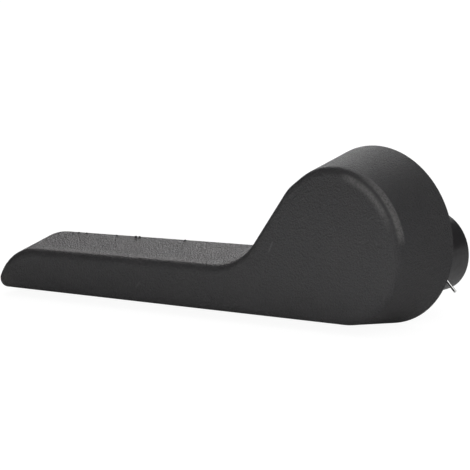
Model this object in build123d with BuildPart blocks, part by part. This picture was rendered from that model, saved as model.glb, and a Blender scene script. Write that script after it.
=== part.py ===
from build123d import *
from math import asin, atan, cos, degrees, radians, sin, sqrt, tan
import os

# Recliner lever of a car seat, in millimetres. The origin is the centre of the boss's mouth,
# where the seat's shaft goes in. +Y leaves the mouth towards the seat, the arm points
# along -X and +Z is up.

# Head and arm, measured at the open rear rim
head_radius = 30.0
head_rise = 10.4          # head centre above the shaft axis
shoulder_angle = 35.4     # where the head's round runs out, from its top
shoulder_radius = 20.0
neck_proud = 0.95         # the neck's face stands outside the head's round
neck_angle = 51.2         # how far the neck leans from level
crook_radius = 21.9
arm_reach = 157.1         # head centre to the tip's round
arm_tip_height = 19.3
arm_root_height = 22.4    # below the head's left edge
tip_radius = 21.0
tip_low_radius = 3.0      # lower corner of the tip
least_radius = 0.4        # of that corner inside the shell

# Moulded shell
shell_depth = 24.3        # from the rim to the front face, in front of the shaft axis
face_tilt = 1.55          # in degrees: the arm gets shallower towards its tip
draft_angle = 8.4
edge_radius = 2.8         # less than the tip's lower corner
wall = 2.6
front_wall = 2.8
rib = 1.6
rib_recess = 2.0          # rib tops lie below the rim
rib_count = 16
truss_pitch = 15.2

# Boss with the socket for the shaft
boss_reach = 29.4         # from the rim to the mouth
boss_radius = 13.6
boss_wall = 2.4
boss_edge = 0.5
tube_radius = 8.6
web = 1.4
web_count = 6
web_recess = 2.0
pilot_radius = 6.0
pilot_depth = 11.5
chamber_radius = 6.3      # round the clip
chamber_depth = 15.0
tooth_count = 24
tooth_tip_radius = 5.15
tooth_root_radius = 5.75
tooth_angle = 90.0        # between the two sides of a groove
tooth_overlap = 0.3       # grooves start inside the bore
spline_depth = 27.0
core_radius = 4.2
core_floor = 6.5          # solid left before the front face

# Spring wire clip
wire = 1.0
clip_depth = 13.3         # from the mouth to the clip
clip_angle = -45.0        # direction of the free ends, from +X
leg_offset = 4.8          # each leg from the shaft axis
long_leg_proud = 7.1      # free end beyond the boss's side
short_leg_proud = 1.5
clip_fit = 0.12           # gap round the wire in its slots
spread = 1.2              # room for a leg to spring outwards
wire_edge = 0.15

# Worked out from the above
bottom = head_rise - head_radius
arm_slope = (arm_root_height - arm_tip_height) / (arm_reach - head_radius)
arm_tilt = degrees(atan(arm_slope))
core_depth = boss_reach + shell_depth - core_floor
leg_exit = sqrt(boss_radius**2 - leg_offset**2)
skirt_inner = boss_radius - boss_wall
skirt_middle = boss_radius - boss_wall / 2
rim_plane = Plane.XZ.offset(boss_reach)
rib_plane = Plane.XZ.offset(boss_reach + rib_recess)
web_plane = Plane.XZ.offset(web_recess)
face_plane = Plane(
    origin=(0, -boss_reach - shell_depth, 0),
    z_dir=(-sin(radians(face_tilt)), -cos(radians(face_tilt)), 0),
)
deepest = shell_depth + head_radius * tan(radians(face_tilt))
boss_depth = boss_reach + shell_depth - front_wall / 2
clip_plane = Plane(
    origin=(0, -clip_depth, 0),
    x_dir=(cos(radians(clip_angle)), 0, sin(radians(clip_angle))),
    z_dir=(0, -1, 0),
)


def arm_top(x):
    """Height of the arm's top edge at x, at the rim."""
    return bottom + arm_tip_height + arm_slope * (x + arm_reach)


def meet(angle_a, reach_a, angle_b, reach_b):
    """Corner of two straight edges, each known by the angle it faces and its distance from the
    head centre."""
    a = radians(angle_a)
    b = radians(angle_b)
    x = (reach_a * sin(b) - reach_b * sin(a)) / sin(b - a)
    z = (reach_b * cos(a) - reach_a * cos(b)) / sin(b - a)
    return (x, head_rise + z)


def side_outline(inset, low_radius):
    """Side view of the lever, shrunk by inset: round head, shoulder, leaning neck, hollow crook,
    arm, and a tip that is round above and has low_radius below."""
    shoulder_edge = (90 + shoulder_angle, head_radius - inset)
    neck_edge = (90 + neck_angle, head_radius + neck_proud - inset)
    arm_edge = (90 + arm_tilt, (arm_top(0) - head_rise) * cos(radians(arm_tilt)) - inset)
    shoulder = meet(*shoulder_edge, *neck_edge)
    crook = meet(*neck_edge, *arm_edge)
    tip_x = -arm_reach + tip_radius
    tip_z = arm_top(tip_x) - tip_radius / cos(radians(arm_tilt))
    tip_start = 90 + arm_tilt
    tip_end = 180 - degrees(asin((bottom + inset - tip_z) / (tip_radius - inset)))
    with BuildSketch() as outline:
        with BuildLine():
            head_arc = CenterArc((0, head_rise), head_radius - inset, -90, 180 + shoulder_angle)
            tip_arc = CenterArc((tip_x, tip_z), tip_radius - inset, tip_start, tip_end - tip_start)
            Polyline(head_arc @ 1, shoulder, crook, tip_arc @ 0)
            Line(tip_arc @ 1, head_arc @ 0)
        make_face()
        fillet(outline.vertices().sort_by_distance(shoulder)[0], shoulder_radius - inset)
        fillet(outline.vertices().sort_by_distance(crook)[0], crook_radius + inset)
        fillet(outline.vertices().sort_by_distance(tip_arc @ 1)[0], low_radius)
    return outline.sketch


def drafted(inset, front_inset):
    """Solid with the lever's side outline and mould draft, from the rim to front_inset behind the
    front face."""
    low_radius = max(tip_low_radius - inset, least_radius)
    with BuildPart() as block:
        with BuildSketch(rim_plane):
            add(side_outline(inset, low_radius))
        with BuildSketch(rim_plane.offset(deepest)):
            add(side_outline(inset + deepest * tan(radians(draft_angle)), low_radius))
        loft(ruled=True)
        split(bisect_by=face_plane.offset(-front_inset), keep=Keep.BOTTOM)
    return block.part


# Shell without its ribs, drafted so that it leaves the mould
with BuildPart() as shell:
    add(drafted(0, 0))
    fillet(shell.faces().sort_by(Axis.Y)[0].edges(), edge_radius)
    add(drafted(wall, front_wall), mode=Mode.SUBTRACT)

# Ribs: radial round the boss, a truss along the arm
rib_length = head_radius + head_rise - skirt_middle
root_x = -(skirt_middle + rib_length) * cos(radians(180 / rib_count))
bays = round((arm_reach + root_x) / truss_pitch)
truss_x = [root_x - truss_pitch * i for i in range(bays + 1)]
truss = [(x, arm_top(x) if i % 2 else bottom) for i, x in enumerate(truss_x)]
with BuildPart() as ribs:
    with BuildSketch(rib_plane):
        with PolarLocations(skirt_middle, rib_count, start_angle=180 / rib_count):
            Rectangle(rib_length, rib, align=(Align.MIN, Align.CENTER))
        with BuildLine():
            Polyline((root_x, head_rise), *truss)
        trace(line_width=rib)
    extrude(amount=deepest - rib_recess)
    add(drafted(wall / 2, front_wall / 2), mode=Mode.INTERSECT)

# Lever: shell, ribs and boss are one moulding
with BuildPart() as lever:
    add(shell.part)
    add(ribs.part)
    with BuildSketch(Plane.XZ):
        Circle(boss_radius)
    extrude(amount=boss_depth)
    fillet(lever.faces().sort_by(Axis.Y)[-1].edges(), boss_edge)
    with BuildSketch(Plane.XZ):
        Circle(skirt_inner)
        Circle(tube_radius, mode=Mode.SUBTRACT)
    extrude(amount=boss_reach + shell_depth - front_wall, mode=Mode.SUBTRACT)
    with BuildSketch(web_plane):
        with PolarLocations((tube_radius + skirt_inner) / 2, web_count, start_angle=clip_angle):
            Rectangle(boss_radius - tube_radius, web)
    extrude(amount=boss_depth - web_recess)

    # Stepped socket: pilot bore, clip chamber, serrated grip for the shaft, relief core
    with BuildSketch(Plane.XZ):
        Circle(pilot_radius)
    extrude(amount=pilot_depth, mode=Mode.SUBTRACT)
    with BuildSketch(Plane.XZ.offset(pilot_depth)):
        Circle(chamber_radius)
    extrude(amount=chamber_depth - pilot_depth, mode=Mode.SUBTRACT)
    groove_start = tooth_tip_radius - tooth_overlap
    groove_half = (tooth_root_radius - groove_start) * tan(radians(tooth_angle / 2))
    with BuildSketch(Plane.XZ):
        Circle(tooth_tip_radius)
        with PolarLocations(0, tooth_count):
            Polygon(
                (tooth_root_radius, 0),
                (groove_start, groove_half),
                (groove_start, -groove_half),
                align=None,
            )
    extrude(amount=spline_depth, mode=Mode.SUBTRACT)
    with BuildSketch(Plane.XZ):
        Circle(core_radius)
    extrude(amount=core_depth, mode=Mode.SUBTRACT)

    # Slots for the clip's two legs, straight through the boss
    slot_inner = leg_offset - wire / 2 - clip_fit
    slot_outer = leg_offset + wire / 2 + spread
    with BuildSketch(clip_plane):
        with Locations((0, (slot_inner + slot_outer) / 2), (0, -(slot_inner + slot_outer) / 2)):
            Rectangle(3 * boss_radius, slot_outer - slot_inner)
    extrude(amount=wire / 2 + clip_fit, both=True, mode=Mode.SUBTRACT)
lever.part.label = "lever"

# Retaining clip: one U of spring wire, its bend behind the boss, with one leg longer to pull it by
bend_start = leg_exit + wire / 2 + clip_fit
with BuildPart() as retaining_clip:
    with BuildLine(clip_plane):
        long_leg = Line((leg_exit + long_leg_proud, leg_offset), (-bend_start, leg_offset))
        CenterArc((-bend_start, 0), leg_offset, 90, 180)
        Line((-bend_start, -leg_offset), (leg_exit + short_leg_proud, -leg_offset))
    with BuildSketch(Plane(long_leg @ 0, z_dir=long_leg % 0)):
        Circle(wire / 2)
    sweep()
    chamfer(retaining_clip.faces().filter_by(GeomType.PLANE).edges(), wire_edge)
retaining_clip.part.label = "retaining_clip"

os.makedirs("parts", exist_ok=True)
export_step(lever.part, "parts/lever.step")
export_step(retaining_clip.part, "parts/retaining_clip.step")
for piece in (lever.part, retaining_clip.part):
    size = piece.bounding_box().size
    print(piece.label, round(piece.volume), "mm3,", *(round(side, 1) for side in size), "mm")
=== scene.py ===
# %% [markdown]
# # A moulded car seat recliner lever
# The real lever is one black plastic moulding: a round head, a crooked neck and a flat arm, open
# and ribbed at the back, with a socket boss that takes the seat's shaft. A bent spring wire holds
# it there. The CAD model already has every outline, rib and wall, so this lesson adds only what
# CAD lacks: grain, gloss, wear, a few burrs of flash, a painted highlight on the head's rim, a
# painted sheen on the arm's top, and studio light.

import bpy
from math import cos, pi, radians, sin, tan
from mathutils import Matrix, Vector


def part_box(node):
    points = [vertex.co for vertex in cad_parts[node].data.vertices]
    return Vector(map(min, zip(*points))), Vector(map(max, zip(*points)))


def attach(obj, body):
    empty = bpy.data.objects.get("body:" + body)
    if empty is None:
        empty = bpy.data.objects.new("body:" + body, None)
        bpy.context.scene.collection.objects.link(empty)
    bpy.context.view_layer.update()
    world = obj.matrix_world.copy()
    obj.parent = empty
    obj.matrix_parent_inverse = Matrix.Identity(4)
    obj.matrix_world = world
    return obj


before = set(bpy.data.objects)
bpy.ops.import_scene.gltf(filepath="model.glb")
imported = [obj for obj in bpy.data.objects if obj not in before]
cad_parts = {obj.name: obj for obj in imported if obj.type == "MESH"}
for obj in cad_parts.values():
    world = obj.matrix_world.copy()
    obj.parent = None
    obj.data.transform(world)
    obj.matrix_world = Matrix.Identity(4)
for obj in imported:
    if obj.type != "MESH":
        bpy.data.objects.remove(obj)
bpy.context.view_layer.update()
mm = 0.001
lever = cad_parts["lever"]
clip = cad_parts["retaining_clip"]
print("nodes:", sorted(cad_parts))

# %% [markdown]
# Everything that follows needs a few places on the lever. They could all be typed in again from
# the CAD source, but then they would be wrong after the next change there. The box of the node
# gives the head's radius and centre, because the head is the highest and the rightmost thing.
# Only the open rim, the tilted front face and the mould draft have no corner of their own.

# %% Places on the lever
low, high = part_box("lever")
head_radius = high.x
head_rise = high.z - head_radius
rim = -29.4 * mm
face_on_axis = rim - 24.3 * mm
face_tilt = radians(1.55)
draft_angle = radians(8.4)
print("head radius", round(head_radius / mm, 2), "mm, its centre at z", round(head_rise / mm, 2))

# %% [markdown]
# ## Camera
# The photograph was taken from far away with a long lens, so parallel edges stay nearly parallel.
# The camera stands on a line through one aim point near the rim, turned by an azimuth and lifted
# by an elevation, and is rolled a little about its own line of sight.

# %% Camera
aim = Vector((-62.65, -30.10, 5.13)) * mm
azimuth, elevation, roll = radians(39.48), radians(10.70), radians(-2.75)
camera_distance = 3.189
pixels_per_tangent = 9470.0
photo_width = 470

back = Vector((sin(azimuth) * cos(elevation), -cos(azimuth) * cos(elevation), sin(elevation)))
level = Vector((cos(azimuth), sin(azimuth), 0))
upright = back.cross(level)
right = level * cos(roll) + upright * sin(roll)
up = upright * cos(roll) - level * sin(roll)
camera = bpy.data.objects.new("camera", bpy.data.cameras.new("camera"))
camera.data.sensor_width = 36
camera.data.lens = pixels_per_tangent / photo_width * camera.data.sensor_width
turn = Matrix((right, up, back)).transposed()
camera.matrix_world = Matrix.Translation(aim + back * camera_distance) @ turn.to_4x4()
bpy.context.scene.collection.objects.link(camera)
bpy.context.scene.camera = camera
print("lens", round(camera.data.lens), "mm")

# %% [markdown]
# ## Writing shader maths
# A shader tree of forty boxes is hard to read, and so is the code that adds them one by one. The
# class below wraps one socket. Adding or multiplying two of them adds a Math node, so a mask is
# written as a formula. Every other node comes from the one method `node`.

# %% A socket that can be added and multiplied
class Wire:
    """One output socket of a shader tree."""

    tree = None

    def __init__(self, socket):
        self.socket = socket

    @classmethod
    def node(cls, kind, settings, values, output=0):
        """Adds a node: its settings first, then its sockets by name or number."""
        made = cls.tree.nodes.new(kind)
        for name, value in settings.items():
            setattr(made, name, value)
        for name, value in values.items():
            if isinstance(value, Wire):
                cls.tree.links.new(value.socket, made.inputs[name])
            else:
                made.inputs[name].default_value = value
        return cls(made.outputs[output])

    @classmethod
    def math(cls, operation, *numbers):
        return cls.node("ShaderNodeMath", {"operation": operation}, dict(enumerate(numbers)))

    def __add__(self, other):
        return self.math("ADD", self, other)

    def __sub__(self, other):
        return self.math("SUBTRACT", self, other)

    def __rsub__(self, other):
        return self.math("SUBTRACT", other, self)

    def __mul__(self, other):
        return self.math("MULTIPLY", self, other)

    def __truediv__(self, other):
        return self.math("DIVIDE", self, other)

    def __pow__(self, other):
        return self.math("POWER", self, other)

    def __gt__(self, other):
        return self.math("GREATER_THAN", self, other)

    __radd__ = __add__
    __rmul__ = __mul__


print("operators:", [name for name in vars(Wire) if name.startswith("__r")], "and their plain forms")

# %% [markdown]
# Masks are made of a few shapes over and over: a soft step, a span with two soft ends, the length
# of a vector, and the largest of several distances. Each gets a short name here.

# %% Helpers for masks
def smooth(value, start, end):
    """0 before start, 1 after end, and a soft step between them."""
    return Wire.node(
        "ShaderNodeMapRange",
        {"interpolation_type": "SMOOTHSTEP"},
        {"Value": value, "From Min": start, "From Max": end},
    )


def span(value, start, full_from, full_to, end):
    """1 from full_from to full_to, and soft on both sides of that."""
    return smooth(value, start, full_from) * smooth(value, end, full_to)


def length(across, upwards):
    """Distance from the origin of a point given by two numbers."""
    return (across * across + upwards * upwards) ** 0.5


def furthest(*values):
    """The largest of several numbers."""
    most = values[0]
    for value in values[1:]:
        most = Wire.math("MAXIMUM", most, value)
    return most


def mix_color(factor, first, second):
    """first where factor is 0, second where it is 1."""
    return Wire.node(
        "ShaderNodeMix", {"data_type": "RGBA"}, {0: factor, 6: first, 7: second}, output=2
    )


def noise(place, scale, detail=2.0, roughness=0.5):
    """Soft random field between 0 and 1, with scale in waves per millimetre."""
    values = {"Vector": place, "Scale": scale, "Detail": detail, "Roughness": roughness}
    return Wire.node("ShaderNodeTexNoise", {}, values)


print("helpers:", [helper.__name__ for helper in (smooth, span, length, furthest, mix_color, noise)])

# %% [markdown]
# A material starts the same way each time: a fresh tree, the Object coordinates turned into
# millimetres, and the three separate numbers x, y and z.

# %% Start and finish a material
def start_material(name):
    """A new material, its shader node, and the place in millimetres, as a vector and as x, y, z."""
    material = bpy.data.materials.new(name)
    material.use_nodes = True
    Wire.tree = material.node_tree
    shader = material.node_tree.nodes["Principled BSDF"]
    metres = Wire.node("ShaderNodeTexCoord", {}, {}, output="Object")
    place = Wire.node("ShaderNodeVectorMath", {"operation": "SCALE"}, {0: metres, "Scale": 1 / mm})
    axes = [Wire.node("ShaderNodeSeparateXYZ", {}, {0: place}, output=n) for n in range(3)]
    return material, shader, place, axes


def finish_material(shader, **sockets):
    """Links or sets the shader's own sockets."""
    for name, value in sockets.items():
        target = shader.inputs[name.replace("_", " ")]
        if isinstance(value, Wire):
            Wire.tree.links.new(value.socket, target)
        else:
            target.default_value = value


print("a place in a material is", 1 / mm, "times its Object coordinates")

# %% [markdown]
# ## Black moulded plastic
# The outside of the lever has a fine sand-like grain etched into the mould, which makes it matte.
# The boss and everything inside the shell leave smooth steel, so they are glossier. One material
# can hold both finishes if it knows where it is. The lever's side outline is simple enough to
# write as a distance: to the head's circle, to the arm's top and bottom, to the neck's slope.
# The outline shrinks by the mould draft on its way from the rim to the front face.

# %% Distance from the side outline
plastic, plastic_shader, place, (x, y, z) = start_material("moulded_plastic")

bottom = low.z / mm
head_level = head_rise / mm
arm_slope = 0.0244
arm_root = bottom + 23.13
tip_x, tip_radius = -136.1, 21.0
tip_z = arm_root + arm_slope * tip_x - tip_radius
neck_lean, neck_reach, neck_top = radians(51.2), 30.95, 30.0
past_everything = 99.0

from_rim = rim / mm - y
from_front = (y - face_on_axis / mm) * cos(face_tilt) + x * sin(face_tilt)
over_arm = z - x * arm_slope - arm_root
head_distance = length(x, z - head_level) - head_radius / mm
tip_distance = length(x - tip_x, z - tip_z) - tip_radius - (x > tip_x) * past_everything
arm_distance = furthest(over_arm, bottom - z, tip_distance, x)
over_neck = (z - head_level) * cos(neck_lean) - x * sin(neck_lean) - neck_reach
neck_distance = furthest(over_neck, z - neck_top, x)
nearest = Wire.math("MINIMUM", head_distance, Wire.math("MINIMUM", arm_distance, neck_distance))
outline_distance = nearest + from_rim * tan(draft_angle)
print("the arm's tip is round about", round(tip_x, 1), round(tip_z, 1), "mm")

# %% [markdown]
# The skin is what lies on the outline between the rim and the front, and the front itself.

# %% Where the grained skin is
side_skin = smooth(outline_distance, -1.6, -1.0) * smooth(from_rim, -0.5, 0.0)
front_skin = smooth(from_front, 1.5, 0.8)
skin = furthest(front_skin, side_skin)
above_arm = smooth(over_arm, -5.0, -3.0) * smooth(x, -20.0, -40.0)
arm_top = above_arm * smooth(from_front, 0.6, 3.0)
print("skin and arm top masks ready")

# %% [markdown]
# The grain itself is two layers of noise: pits about three quarters of a millimetre wide, and a
# finer tooth on them. Real grain is a few hundredths of a millimetre deep, so it only bends the
# normal, and no outline changes. The smooth parts get faint polishing marks instead.

# %% Grain
pits_per_mm, teeth_per_mm, marks_per_mm = 1.3, 4.5, 0.35
pits = noise(place, pits_per_mm, detail=3.0, roughness=0.65)
tooth = noise(place, teeth_per_mm, detail=1.0)
polish_marks = noise(place, marks_per_mm, detail=4.0)
grain = (pits * 0.7 + tooth * 0.3) * skin + polish_marks * 0.12 * (1 - skin)
print("grain about", round(1 / pits_per_mm, 2), "mm wide")

# %% [markdown]
# The real front face isn't quite flat: plastic shrinks as it cools, and what stays is a shallow
# dome on the head and a shallow crown along the arm. The same Bump node can carry that slow fall
# and the grain, because both only turn the surface a few degrees. Its height is in units of its
# Distance. Both domes are 0 at the outline, so the fall ends there without a step. The grain's
# height was set against the photograph, where the arm's top looks coarser than the front.

# %% Crowned face and bump
dome_radius, dome_depth = 26.4, 1.9
crown_half, crown_depth = 8.3, 0.45
front_grain, top_grain = 0.9, 1.7

head_dome = (length(x, z - head_level) / dome_radius) ** 2.0 * dome_depth - dome_depth
arm_middle = (x * arm_slope + arm_root + bottom) * 0.5
off_middle = (z - arm_middle) / crown_half
arm_crown = off_middle * off_middle * crown_depth - crown_depth
on_head = smooth(x, -45.0, -25.0)
dome = (head_dome * on_head + arm_crown * (1 - on_head)) * smooth(from_front, 20.0, 2.0)
height = grain * (front_grain + arm_top * (top_grain - front_grain)) - dome
bump = Wire.node("ShaderNodeBump", {}, {"Strength": 1.0, "Distance": mm, "Height": height})
print("dome", dome_depth, "mm and crown", crown_depth, "mm, in the bump alone")

# %% [markdown]
# The two edges of the rounded front rim are a lighter grey at the head's upper right. That is partly
# wear, where hands and sleeves rub the grain off, and partly a painted highlight: the light that the
# rounded rim catches there. Each edge is a span of a distance that is already there, times a span
# of the clock angle round the head, so that the lighter band starts and stops where it does in the
# photograph.

# %% Worn edges and painted highlight
degrees_per_radian = 180 / pi
clock = Wire.math("ARCTAN2", z - head_level, x) * degrees_per_radian
# Painted highlight, with some wear: two lighter bands along the rim's edges, where light catches the
# rounded rim.
inner_edge_highlight = span(outline_distance, -4.3, -1.9, -1.6, -0.6) * span(clock, 12.0, 46.0, 72.0, 86.0)
outer_edge_highlight = span(from_front, 0.8, 1.6, 3.2, 4.0) * span(clock, 3.0, 14.0, 42.0, 76.0)
patchy = smooth(noise(place, 1.2, detail=4.0, roughness=0.7), 0.34, 0.58) * 0.6 + 0.4
edge_wear_and_highlight = furthest(inner_edge_highlight, outer_edge_highlight * 0.95) * patchy
arm_edge = span(from_front, 1.2, 3.0, 3.4, 6.5) * above_arm * 0.35
print("wear masks ready")

# %% [markdown]
# A few marks have a place of their own: a short pale scratch on the neck, a scuff on the arm and a
# rubbed corner at the tip. A scratch is all the points near a line, so its mask is the distance to
# a segment from a to b.

# %% Scratches and scuffs
def scratch(a, b, half_width):
    """1 on the segment from a to b of the front face, given as (x, z) in millimetres."""
    run_x, run_z = b[0] - a[0], b[1] - a[1]
    along = ((x - a[0]) * run_x + (z - a[1]) * run_z) / (run_x**2 + run_z**2)
    along = Wire.node("ShaderNodeClamp", {}, {"Value": along})
    distance = length(x - a[0] - along * run_x, z - a[1] - along * run_z)
    return smooth(distance, half_width, half_width * 0.3)


neck_scratch_ends = (-28.0, 9.5), (-29.6, 6.3)
arm_scuff_ends = (-89.4, -11.1), (-87.9, -9.6)
neck_scratch = scratch(*neck_scratch_ends, half_width=0.45)
arm_scuff = scratch(*arm_scuff_ends, half_width=0.5)
marks = (neck_scratch + arm_scuff * 0.6) * smooth(from_front, 0.5, 0.2)
tip_scuff = smooth(x, -144.0, -150.0) * smooth(z, -8.0, -13.5) * patchy
print("scratch", neck_scratch_ends, "and scuff", arm_scuff_ends, "mm")

# %% [markdown]
# The colour is a black that drifts a little from cool to warm. On the arm's top it turns a lighter,
# warmer brown: a painted sheen where the light falls on the top. Wear and marks lighten it, and so
# does a painted highlight along the head's rim. The grain is rougher than the smooth parts, and
# uneven, and the arm's top is a little less rough than the rest of it, because hands polish it.

# %% Colour and gloss
cool_black, warm_black = (0.016, 0.016, 0.018, 1), (0.022, 0.020, 0.021, 1)
# On the arm's top: a lighter warm brown, a painted sheen where light falls on the top.
top_sheen_brown = (0.040, 0.026, 0.029, 1)
# Lighter grey of wear, and of the painted highlight along the head's rim.
worn_and_highlight_grey = (0.102, 0.099, 0.098, 1)
tip_olive = (0.040, 0.040, 0.030, 1)
scratch_grey = (0.085, 0.085, 0.085, 1)
smooth_roughness, grain_roughness, pit_roughness, hand_polish = 0.36, 0.20, 0.2, 0.035

cloud = noise(place, 0.06, detail=3.0)
black = mix_color(cloud, cool_black, warm_black)
# Painted sheen on the arm's top.
sheen_warmed = mix_color(arm_top * cloud, black, top_sheen_brown)
# The rim's lighter grey is partly wear and partly painted highlight.
rubbed_and_highlit = mix_color(furthest(edge_wear_and_highlight, arm_edge), sheen_warmed, worn_and_highlight_grey)
scuffed = mix_color(tip_scuff * 0.5, rubbed_and_highlit, tip_olive)
marked = mix_color(marks * 0.5, scuffed, scratch_grey)
skin_roughness = skin * (grain_roughness + (pits - 0.5) * pit_roughness)
roughness = smooth_roughness + skin_roughness - arm_top * hand_polish
finish_material(plastic_shader, Base_Color=marked, Roughness=roughness, Normal=bump)
lever.data.materials.clear()
lever.data.materials.append(plastic)
print("plastic nodes:", len(plastic.node_tree.nodes))

# %% [markdown]
# ## Spring wire
# The clip is drawn steel wire, bright and nearly mirror smooth, with fine die lines along it. The
# wire runs in planes of constant y, so noise that changes fast only along y gives such lines.

# %% Bright wire
wire, wire_shader, place, (x, y, z) = start_material("bright_wire")
stretched = Wire.node("ShaderNodeMapping", {}, {"Vector": place, "Scale": (0.4, 9.0, 0.4)})
lines = noise(stretched, 1.0)
dull_steel, clean_steel = (0.86, 0.86, 0.85, 1), (0.95, 0.95, 0.94, 1)
steel = mix_color(lines, dull_steel, clean_steel)
finish_material(wire_shader, Base_Color=steel, Roughness=0.04 + lines * 0.08, Metallic=1.0)
clip.data.materials.clear()
clip.data.materials.append(wire)
print("wire nodes:", len(wire.node_tree.nodes))

# %% [markdown]
# ## Burrs of flash
# Where the two halves of a mould meet, a little plastic creeps between them and stays as flash.
# On this lever a few crumbs of it stand on the arm's rear top edge. Torn plastic has neither grain
# nor polish, so the crumbs look darker and duller than the skin round them.

# %% Torn plastic
flash, flash_shader, place, (x, y, z) = start_material("torn_flash")
torn = noise(place, 3.0, detail=2.0)
darkest, dark = (0.004, 0.004, 0.004, 1), (0.014, 0.013, 0.013, 1)
torn_black = mix_color(torn, darkest, dark)
finish_material(flash_shader, Base_Color=torn_black, Roughness=0.75 + torn * 0.25)
print("flash nodes:", len(flash.node_tree.nodes))

# %% [markdown]
# The places of the crumbs follow the photograph, as distances from the shaft along the arm. Each
# crumb sits half sunk in the arm's top, just in front of the rim. A mesh of loose points carries
# the places, because a Geometry Nodes tree reads points.

# %% Places of the burrs
burr_reach = [131.5, 128.0, 114.6, 106.2, 104.6, 84.6]
burr_inset, burr_sink = 0.7, 0.12
burr_heights = [arm_root - arm_slope * reach - burr_sink for reach in burr_reach]
burr_places = [
    (-reach * mm, rim - burr_inset * mm, burr_height * mm)
    for reach, burr_height in zip(burr_reach, burr_heights)
]
burr_mesh = bpy.data.meshes.new("burr_places")
burr_mesh.from_pydata(burr_places, [], [])
burrs = bpy.data.objects.new("flash_burrs", burr_mesh)
bpy.context.scene.collection.objects.link(burrs)
print(len(burr_places), "burrs, the first at", [round(v / mm, 1) for v in burr_places[0]], "mm")

# %% [markdown]
# The tree turns each place into a small irregular crumb: the same ball, turned and stretched at
# random with a fixed seed, so that every run gives the same crumbs.

# %% Tree that makes the crumbs
crumbs = bpy.data.node_groups.new("flash_crumbs", "GeometryNodeTree")
tree_inputs = {
    "Places": "NodeSocketGeometry",
    "Radius": "NodeSocketFloat",
    "Seed": "NodeSocketInt",
    "Material": "NodeSocketMaterial",
}
for name, kind in tree_inputs.items():
    crumbs.interface.new_socket(name, in_out="INPUT", socket_type=kind)
crumbs.interface.new_socket("Crumbs", in_out="OUTPUT", socket_type="NodeSocketGeometry")

Wire.tree = crumbs
given = {name: Wire.node("NodeGroupInput", {}, {}, output=name) for name in tree_inputs}
ball = Wire.node("GeometryNodeMeshIcoSphere", {}, {"Radius": given["Radius"], "Subdivisions": 2})
stretch = Wire.node(
    "FunctionNodeRandomValue", {"data_type": "FLOAT_VECTOR"},
    {0: (0.8, 0.5, 0.8), 1: (1.4, 0.8, 1.3), "Seed": given["Seed"]},
)
turned = Wire.node(
    "FunctionNodeRandomValue", {"data_type": "FLOAT_VECTOR"},
    {0: (-0.5, -0.4, -0.5), 1: (0.5, 0.4, 0.5), "Seed": given["Seed"] + 1.0},
)
placed = Wire.node(
    "GeometryNodeInstanceOnPoints", {},
    {"Points": given["Places"], "Instance": ball, "Rotation": turned, "Scale": stretch},
)
solid = Wire.node("GeometryNodeRealizeInstances", {}, {"Geometry": placed})
painted = Wire.node(
    "GeometryNodeSetMaterial", {}, {"Geometry": solid, "Material": given["Material"]}
)
crumbs.links.new(painted.socket, crumbs.nodes.new("NodeGroupOutput").inputs["Crumbs"])
print("tree nodes:", len(crumbs.nodes))

# %% [markdown]
# A modifier knows the tree's inputs by identifier, not by name. The result is taken as a plain
# mesh, because the export drops what a live tree instances.

# %% Run the tree
def run_tree(piece, tree, values):
    """Replaces the piece's mesh by what the tree makes of it."""
    modifier = piece.modifiers.new("made", "NODES")
    modifier.node_group = tree
    for item in tree.interface.items_tree:
        if item.name in values:
            modifier[item.identifier] = values[item.name]
    graph = bpy.context.evaluated_depsgraph_get()
    made = bpy.data.meshes.new_from_object(piece.evaluated_get(graph))
    piece.modifiers.clear()
    piece.data = made
    print(piece.name, len(made.polygons), "faces")


run_tree(burrs, crumbs, {"Radius": 0.40 * mm, "Seed": 7, "Material": flash})
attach(burrs, "root")

# %% [markdown]
# ## Floor and light
# The photograph has a pure white background. Lighting the floor until it is white would also
# bleach the lever, so a white glow covers most of the floor's own colour for camera and mirror
# rays only. What is left over keeps the shadow. In reflections the glow starts a little way off,
# because the floor close to the lever lies in its shade, and the real underside is dark.

# %% White floor material
shade_reach = 0.25
shadow_share = 0.2
glow = 1.17


def white_floor(name, pale):
    """Pale matte surface that looks white to the camera and, further off, in reflections."""
    material = bpy.data.materials.new(name)
    material.use_nodes = True
    Wire.tree = material.node_tree
    shader = material.node_tree.nodes["Principled BSDF"]
    by_camera, by_gloss, by_glass = [
        Wire.node("ShaderNodeLightPath", {}, {}, output=ray)
        for ray in ("Is Camera Ray", "Is Glossy Ray", "Is Transmission Ray")
    ]
    spot = Wire.node("ShaderNodeTexCoord", {}, {}, output="Object")
    reach = Wire.node("ShaderNodeVectorMath", {"operation": "LENGTH"}, {0: spot}, output=1)
    far = smooth(reach, shade_reach, shade_reach * 3)
    seen = Wire.math("MINIMUM", by_camera + (by_gloss + by_glass) * far, 1.0)
    white = Wire.node("ShaderNodeEmission", {}, {"Color": (1, 1, 1, 1), "Strength": glow})
    finish_material(shader, Base_Color=(pale, pale, pale, 1), Roughness=1.0, Specular_IOR_Level=0.0)
    mixed = Wire.node(
        "ShaderNodeMixShader", {},
        {0: seen * (1 - shadow_share), 1: Wire(shader.outputs[0]), 2: white},
    )
    output = material.node_tree.nodes["Material Output"]
    material.node_tree.links.new(mixed.socket, output.inputs["Surface"])
    return material


print("the glow covers", 1 - shadow_share, "of the floor's own colour")

# %% [markdown]
# The floor is one large square, a hair below the lever so that the two never share a plane.

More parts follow.
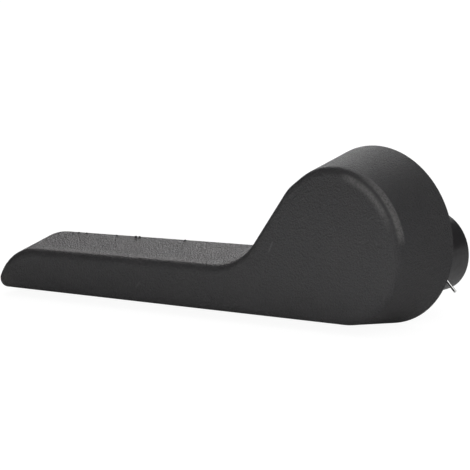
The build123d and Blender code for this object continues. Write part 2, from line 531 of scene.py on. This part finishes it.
# %% Floor
floor_half = 6.0
floor_level = low.z - 0.2 * mm
corners = [
    (across * floor_half, along * floor_half, floor_level)
    for across, along in ((-1, -1), (1, -1), (1, 1), (-1, 1))
]
floor_mesh = bpy.data.meshes.new("floor")
floor_mesh.from_pydata(corners, [], [(0, 1, 2, 3)])
floor = bpy.data.objects.new("floor", floor_mesh)
floor_mesh.materials.append(white_floor("floor_white", 0.8))
bpy.context.scene.collection.objects.link(floor)
print("floor at z", round(floor_level / mm, 2), "mm")

# %% [markdown]
# Soft lamps are large area lights that point at the middle of the lever. Black plastic shows
# little colour of its own, so most of what the camera sees is their reflection. Those behind draw
# the bright arm top and neck, the large one overhead draws the wire's white side, and the small
# ones in front lift the faces and the rounded rim.

# %% Soft lamps
middle = (low + high) / 2


def softbox(name, azimuth, elevation, distance, size, watts):
    """A square area light, placed as the camera is: azimuth 0 is the front, elevation from level."""
    a, e = radians(azimuth), radians(elevation)
    away = Vector((sin(a) * cos(e), -cos(a) * cos(e), sin(e)))
    lamp = bpy.data.objects.new(name, bpy.data.lights.new(name, "AREA"))
    lamp.data.size = size
    lamp.data.energy = watts
    lamp.location = middle + away * distance
    lamp.rotation_mode = "QUATERNION"
    lamp.rotation_quaternion = away.to_track_quat("Z", "Y")
    bpy.context.scene.collection.objects.link(lamp)
    print(name, watts, "watts")


softbox("back_left_light", azimuth=-150, elevation=20, distance=1.3, size=0.8, watts=7.3)
softbox("back_top_light", azimuth=-160, elevation=50, distance=1.3, size=0.7, watts=1.6)
softbox("overhead_right_light", azimuth=75, elevation=60, distance=0.9, size=1.4, watts=6.8)
softbox("far_front_light", azimuth=20, elevation=10, distance=1.3, size=0.8, watts=0.3)
softbox("near_front_light", azimuth=20, elevation=2, distance=0.45, size=0.25, watts=0.2)
softbox("near_right_light", azimuth=45, elevation=20, distance=0.6, size=0.3, watts=0.8)

# %% [markdown]
# A black thing on a white table also mirrors the lit table in front of it. That reflection is what
# makes the lever's faces brightest below the middle. A long flat lamp lying on the floor stands in
# for it. It shows only in reflections, so it leaves the shadow on the floor alone.

# %% Lit strip of table
strip_length, strip_width, strip_glow = 0.37, 0.045, 1.8
strip = bpy.data.objects.new("table_strip", bpy.data.lights.new("table_strip", "AREA"))
strip.data.shape = "RECTANGLE"
strip.data.size = strip_length
strip.data.size_y = strip_width
strip.data.energy = strip_glow * pi * strip_length * strip_width
strip.location = (-65 * mm, -89 * mm, low.z)
strip.rotation_euler = (pi, 0, 0)
strip.visible_camera = False
strip.visible_diffuse = False
bpy.context.scene.collection.objects.link(strip)
print("strip of", round(strip.data.energy, 3), "watts")

# %% [markdown]
# The room is dark except to the camera, which sees it as white.

# %% Room
world = bpy.data.worlds.new("studio")
world.use_nodes = True
bpy.context.scene.world = world
Wire.tree = world.node_tree
camera_ray = Wire.node("ShaderNodeLightPath", {}, {}, output="Is Camera Ray")
dark_room, white_room = (0.02, 0.02, 0.02, 1), (1, 1, 1, 1)
room = mix_color(camera_ray, dark_room, white_room)
world.node_tree.links.new(room.socket, world.node_tree.nodes["Background"].inputs["Color"])
bpy.context.scene.view_settings.view_transform = "Standard"

# %% [markdown]
